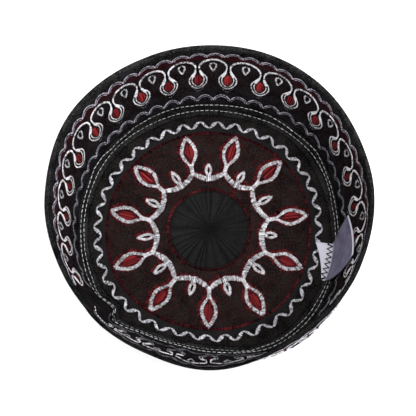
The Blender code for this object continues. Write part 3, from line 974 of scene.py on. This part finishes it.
def band_embroidery(face, seed):
    inside = face == "band_inside"
    silver, red, grey, black = [Threads(seed + k, 1.0 if inside else COARSE) for k in range(4)]
    deep = Threads(seed + 4, FRINGE, whole=True)
    tones = INSIDE_LIGHT_AND_SHADE if inside else OUTSIDE_TONES
    bulb, loop, shoulder, heart = mirrored(BULB), mirrored(BULB_LOOP), smooth_line(SHOULDER), mirrored(HEART)
    for azimuth, after in zip(BULBS, (*BULBS[1:], BULBS[-1] + BULB_STEP)):
        slack = inside and azimuth > SLACK_START
        hang = SLACK if slack else TAUT
        light, red_shading, fringe = [lookup(tones, key, azimuth) for key in ("silver", "red", "fringe")]
        place, wide = on_band(azimuth), hang.wide
        if fringe > FRINGE_LEAST:
            deep.satin(bulb, 1.8, place, fringe, **FRINGE_ROW)
        # Painted shade: each outline and loop is dimmer at its bottom than at its top
        for line, width, tall, ends in ((bulb, 0.88, 1.0, 1.4), (loop, 0.70, 0.9, 1.3)):
            bright, tall = brighter_ends(hang.low * light, ends * light, hang.power), tall * hang.tall
            silver.satin(line, width * wide, place, bright, hang.dark, hang.run, tall, **WORN_ROW)
        for side in (-1, 1):
            silver.satin(shoulder * (side, 1), lambda share: wide * (2.1 - 1.1 * share), place, 1.4 * light,
                         0.06, height=0.65)
            grey.running(np.array(DASHES) * (side, 1), 1.1, 1.0, place, bright=0.5, missing=0.2, wander=0.1)
        foot, head, half_width = BULB_FILL
        # Painted shade: the red fill is dimmed and narrowed by the tone table's red column
        red.fill(foot, head, half_width * (0.4 + 0.6 * min(red_shading, 1)), place, red_shading, 0.15)
        black.running(SLIT, 3.0, 0.2, place, 0.7)
        arch = arch_line(azimuth, after)
        if slack and azimuth == BULBS[-1]:
            silver.running(arch, 1.5, 0.4, width=0.5, height=0.5, bright=1.4, wander=0.12)
            continue
        if fringe > FRINGE_LEAST:
            deep.satin(arch, 2.3, bright=fringe, **FRINGE_ROW)
        # Painted shade: the arch is dimmer at its top than at its ends
        silver.satin(arch, lambda share: wide * arch_width(share),
                     bright=brighter_ends(hang.arch * light, 1.5 * light), **ARCH_ROW)
        if not slack:
            part = arch[len(arch) // 9:len(arch) // 2]
            black.running(part, 1.7, 0.3, width=0.42, height=0.66, missing=0.25)
        place = on_band((azimuth + after) / 2)
        # Painted light and shade on the inner side's hearts, dimmest on the slack near wall
        shine = lookup(HEART_LIGHT_AND_SHADE, "bright", azimuth) if inside else PLAIN_GLOW
        silver.satin(heart, 1.2 * wide, place, 0.5 if slack else shine * light, 0.3, 2, 0.4)
        for side in (-1, 1):
            black.running(np.array(HEART_TAIL) * (side, 1), 2.4, 0.1, place, 0.9)
    silver.satin(arch_line(BULBS[0] - BULB_STEP, BULBS[0]), arch_width, height=0.5)
    scallop_rows(grey, INNER_SCALLOPS, tones, "inner", seed + 10)
    scallop_rows(grey, OUTER_SCALLOPS, tones, "outer", seed + 11)
    return thread_pieces(face, "band_cloth", silver=silver, red=red, lilac=grey, black=black, deep_red=deep)


# Embroidery of the crown

def crown_border(threads):
    """The wave round the crown's edge, a twisted rope of two widths."""
    base = WAVE_FIRST + WAVE_STEP * np.arange(WAVE_CRESTS + 1)
    crest = base + lookup(SLIPS, "shift", base)
    crest[-1] = crest[0] + 360
    share = np.linspace(0.02, 0.98, 13)
    lower, azimuth, reach = LOW_WAVES
    for before, after in zip(crest, crest[1:]):
        trough = (before + after) / 2
        height = WAVE_HEIGHT - lower * np.exp(-((trough - azimuth) / reach) ** 2)
        for start, most in ((before, 1.1), (after, 1.7)):
            line = polar(start + (trough - start) * share, WAVE_RADIUS + height * np.cos(np.pi * share))
            threads.satin(line, lambda s: 0.9 + most * np.sin(np.pi * s) ** 1.3, flecks=0.22, ragged=0.2)


def crown_embroidery(face, seed):
    grade = 1.0 if face == "crown_above" else COARSE
    silver, border, red, black = [Threads(seed + k, grade) for k in range(4)]
    deep = Threads(seed + 4, FRINGE, whole=True)
    leaf, bud_line = mirrored(LEAF), mirrored(BUD)
    random = np.random.default_rng(seed + 9)

    def leaf_width(share):
        return 2.55 - 1.25 * np.abs(2 * share - 1) ** 5

    def arc_width(share):
        return 3.8 - 1.2 * (2 * share - 1) ** 2

    def halo(line, width, place, bright=1.35):
        deep.satin(line, width, lambda points: place(points) + HALO_SHIFT, bright, **HALO_ROW)

    for item in LEAVES:
        place = on_axis(item.neck, item.tip, NECK_RADIUS, TIP_RADIUS)
        halo(leaf, lambda share: leaf_width(share) + 3.4, place)
        halo(NECK, 5.6, place, 1.1)
        silver.satin(leaf, leaf_width, place, flecks=0.28, ragged=0.22)
        silver.satin(NECK, 2.9, place, flecks=0.12)
        shift = (random.choice([-0.5, 0.5]), 0)
        red.fill(*LEAF_FILL, lambda points: place(points + shift), lookup(LEAF_GLOW, "bright", item.tip))
    necks = column(LEAVES, "neck")
    for bud, before, after in zip(BUDS, [necks[-1] - 360] + necks, necks):
        azimuth = np.linspace(before, after, 41)
        reach = np.where(azimuth < bud.azimuth, bud.azimuth - before, after - bud.azimuth)
        arc = polar(azimuth, ARC_DIP + ARC_RISE * (np.abs(azimuth - bud.azimuth) / reach) ** 2.2)
        stretch = (bud.tip - BUD_FOOT) / (BUD_TIP - BUD_FOOT)
        outline = (bud_line - (0, BUD_FOOT)) * (1, stretch) + (0, BUD_FOOT)
        place = on_axis(bud.azimuth, bud.azimuth, BUD_FOOT, bud.tip)
        halo(arc, lambda share: arc_width(share) + 2.4, as_drawn, 1.1)
        halo(outline, 4.2, place)
        silver.satin(arc, arc_width, flecks=0.30, ragged=0.2)
        black.running(BUD_SLIT, 2.4, 0.0, place, 1.6)
        silver.satin(outline, 1.9, place, flecks=0.12)
        silver.satin(BUD_STEM, 3.3, place, flecks=0.15)
        for side in STEM_SLITS:
            black.running(((side, 32.8), (0.9 * side, 37.4)), 4.0, 0.0, place, 0.45, 0.85)
    for key, radius, style in zip(("outer", "inner"), RING_RADII, RING_ROWS):
        ring = polar(np.linspace(0, 360, 361), radius)
        deep.satin(ring, lambda share: lookup(RING_WIDTHS, key, 360 * share),
                   bright=lambda share: lookup(RINGS, key, 360 * share), **style)
    for patch in RED_PATCHES:
        line = polar(patch.azimuth, np.linspace(patch.inner, patch.outer, 5))
        deep.satin(line, patch.width, bright=1.2, **PATCH_ROW)
    dashes = polar(RED_DASHES[0], np.array(RED_DASHES[1]))
    deep.running(dashes, 0.9, 1.1, width=0.9, bright=1.1, missing=0.3, wander=0.5)
    crown_border(border)
    colours = {"silver": silver, "border": border, "red": red, "deep_red": deep, "black": black}
    return thread_pieces(face, "crown_cloth", pulled, **colours)


# Stitching of the corner and the label

def topstitching(face, seed):
    threads = Threads(seed)
    azimuth = np.linspace(0, 360, 721)
    for key in ("lower", "upper"):
        height = OUTER_ROWS[key] if face == "tape_outside" else lookup(SEAM_WANDER, key, azimuth, 360)
        line = flat_grid(azimuth, height * MM) / MM
        threads.running(line, 2.75, 0.75, width=0.40, wander=0.10,
                        bright=lambda share: lookup(SEAM_TONES, key, share * 360, 360))
    return threads.piece(f"{face}_topstitching", face, TOPSTITCH, "plain_cloth")


def label_stitching():
    """Dark zigzag along the label's sewn line."""
    teeth = 7
    facing = Vector((-0.9, 0.25, 0.9)).normalized()
    line = bpy.data.curves.new("label_zigzag", "CURVE")
    adjusted(line, dimensions="3D", bevel_depth=0.00062, bevel_resolution=2, use_fill_caps=True)
    spline = line.splines.new("POLY")
    spline.points.add(teeth * 2)
    for number, point in enumerate(spline.points):
        across = 0.02 + 0.96 * number / (teeth * 2)
        above = 0.0007 / between(LABEL_HEIGHTS, across)
        below = min(0.0030 / between(LABEL_FLAPS, across), 0.8)
        place = label_middle(np.array([across]), np.array([above if number % 2 else -below]))[0]
        point.co = (*(Vector(place) + facing * 0.0006), 1)
    holder = new_object("label_zigzag", line)
    graph = bpy.context.evaluated_depsgraph_get()
    mesh = bpy.data.meshes.new_from_object(holder.evaluated_get(graph))
    bpy.data.objects.remove(holder, do_unlink=True)
    shade_map(mesh, np.ones(len(mesh.vertices)))
    return new_piece("label_zigzag", mesh, BLACK, "label_cloth")


# The room

def camera():
    """The photo's view: from 12 degrees off straight above, with the crown a little below the middle."""
    tilt, distance = np.radians(12), 0.62
    lens = adjusted(bpy.data.cameras.new("camera"), lens=81.0, sensor_width=36.0, clip_start=0.01)
    place = (0, -distance * np.sin(tilt), CROWN_TOP + distance * np.cos(tilt))
    turned = np.radians((13.31, 0.08, 0))
    bpy.context.scene.camera = new_object("camera", lens, location=place, rotation_euler=turned)


def area_light(name, place, size, power):
    light = adjusted(bpy.data.lights.new(name, "AREA"), shape="DISK", size=size, energy=power)
    facing = (Vector((0, 0, 0.02)) - Vector(place)).to_track_quat("-Z", "Y")
    new_object(name, light, location=place, rotation_mode="QUATERNION", rotation_quaternion=facing)


def room():
    pale = Finish("pale_floor", 0.9, 0.1)
    pale.colour(pale.mixed(pale.noise(0.05, 2.0), (0.93, 0.93, 0.93), (0.96, 0.96, 0.96)))
    bpy.ops.mesh.primitive_plane_add(size=6.0, location=(0, 0, -0.0002))
    floor = adjusted(bpy.context.object, name="floor")
    floor.data.materials.append(pale.material)
    world = bpy.data.worlds.new("studio")
    world.use_nodes = True
    background = world.node_tree.nodes["Background"].inputs
    background["Color"].default_value = (1.0, 1.0, 1.0, 1.0)
    background["Strength"].default_value = 0.88
    bpy.context.scene.world = world
    area_light("overhead_soft", (0.22, 0.10, 1.25), 1.2, 21.0)
    area_light("front_soft", (0.4, -0.9, 1.1), 0.9, 8.0)
    bpy.context.scene.view_settings.view_transform = "Standard"


def main():
    crown = crown_cloth()
    rosette = rosette_cloth()
    tape = tape_cloth()
    low, high = TAPE_TOP + GAP, HEM_BOTTOM - GAP
    band = wall_piece("band_cloth", low, high, 0, 0, 30, BAND_GROUND, "band_cloth", "band")
    hem = wall_piece("turned_hem", HEM_BOTTOM, HEIGHT, HEM_PROUD, HEM_ROUND, 11, HEM, "plain_cloth", "hem")
    label = label_cloth()
    inside = band_embroidery("band_inside", 100)
    outside = band_embroidery("band_outside", 200)
    above = crown_embroidery("crown_above", 300)
    below = crown_embroidery("crown_below", 400)
    seams = [topstitching("tape_inside", 500), topstitching("tape_outside", 600)]
    zigzag = label_stitching()
    room()
    camera()


main()
